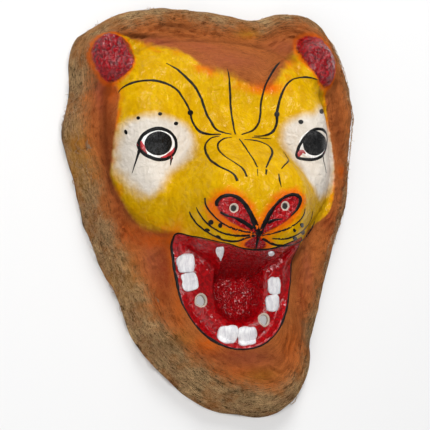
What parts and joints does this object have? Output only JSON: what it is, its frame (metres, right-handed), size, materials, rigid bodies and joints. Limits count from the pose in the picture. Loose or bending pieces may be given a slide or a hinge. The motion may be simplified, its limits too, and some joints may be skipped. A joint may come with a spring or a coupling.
{
  "type": "moulded animal mask",
  "caption": "Hollow moulded-fibre face mask of a roaring lion, with a rolled rim, open mouth, drilled sight and nostril holes and teeth set on its gums.",
  "frame": {"origin": "on the surface that the rim rests on, under the middle of the rim's box", "axes": "+Z out of the face, +Y from the chin to the crown, +X to the right of someone who looks at the face"},
  "size_m": [0.3012, 0.3968, 0.1091],
  "materials": {
    "painted_fibre": "hand-painted moulded plant fibre, satin on the face, glossy red in the mouth and on the ears, bare and rough on the rim",
    "tooth_white": "thick brushed white paint over fibre pads"
  },
  "bodies": {
    "root": {"mask_shell": "painted_fibre", "tooth_left_upper": "tooth_white", "tooth_left_lower": "tooth_white", "tooth_right_upper": "tooth_white", "tooth_right_lower": "tooth_white", "tooth_front_left": "tooth_white", "tooth_front_right": "tooth_white", "fang_left": "tooth_white", "fang_right": "tooth_white"}
  },
  "joints": []
}
